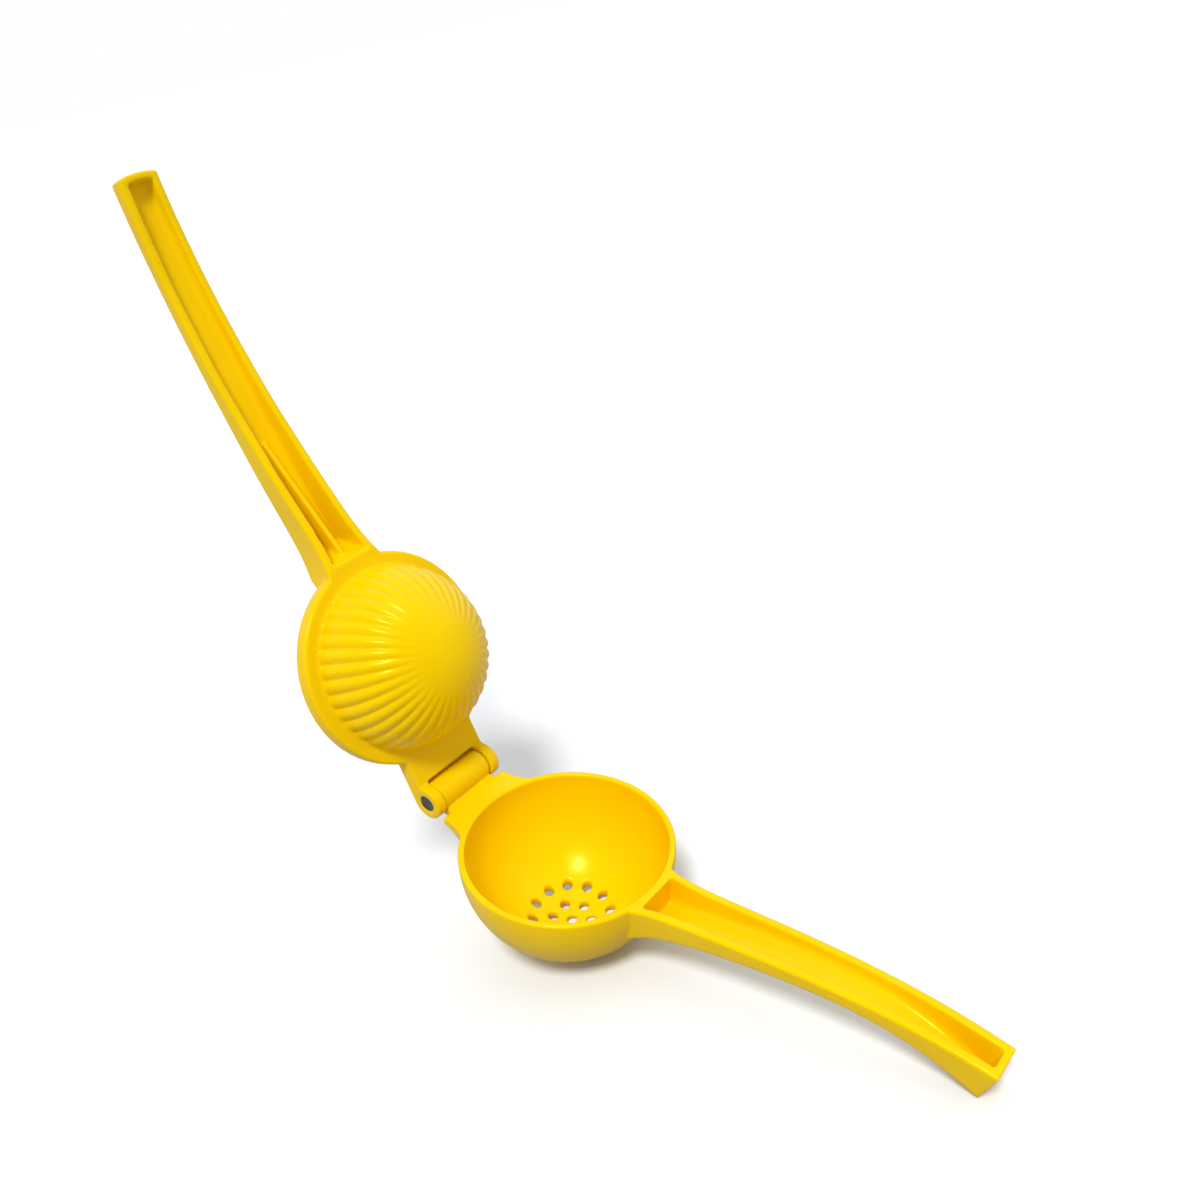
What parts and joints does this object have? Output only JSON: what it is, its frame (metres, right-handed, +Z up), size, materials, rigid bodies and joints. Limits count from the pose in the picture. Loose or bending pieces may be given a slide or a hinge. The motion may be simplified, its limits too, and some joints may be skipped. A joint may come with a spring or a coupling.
{
  "type": "citrus press",
  "caption": "Hinged hand press for citrus fruit: a ribbed plunger dome on one channel handle closes into a strainer bowl on the other.",
  "frame": {"origin": "middle of the small flat under the bowl, where the press stands on the table", "axes": "+X from the hinge towards the end of the bowl's handle, +Y along the hinge pin, +Z up"},
  "size_m": [0.2641, 0.0704, 0.2533],
  "materials": {
    "enamel": "gloss",
    "pin_steel": "brushed"
  },
  "bodies": {
    "bowl_arm": {"lower_arm": "enamel"},
    "plunger_arm": {"upper_arm": "enamel", "hinge_pin": "pin_steel"}
  },
  "joints": [
    {"name": "press_hinge", "type": "hinge", "parent": "bowl_arm", "child": "plunger_arm", "pos_m": [-0.04561, 0, 0.04773], "axis": [0, 1, 0], "range_deg": [0, 115.8]}
  ]
}
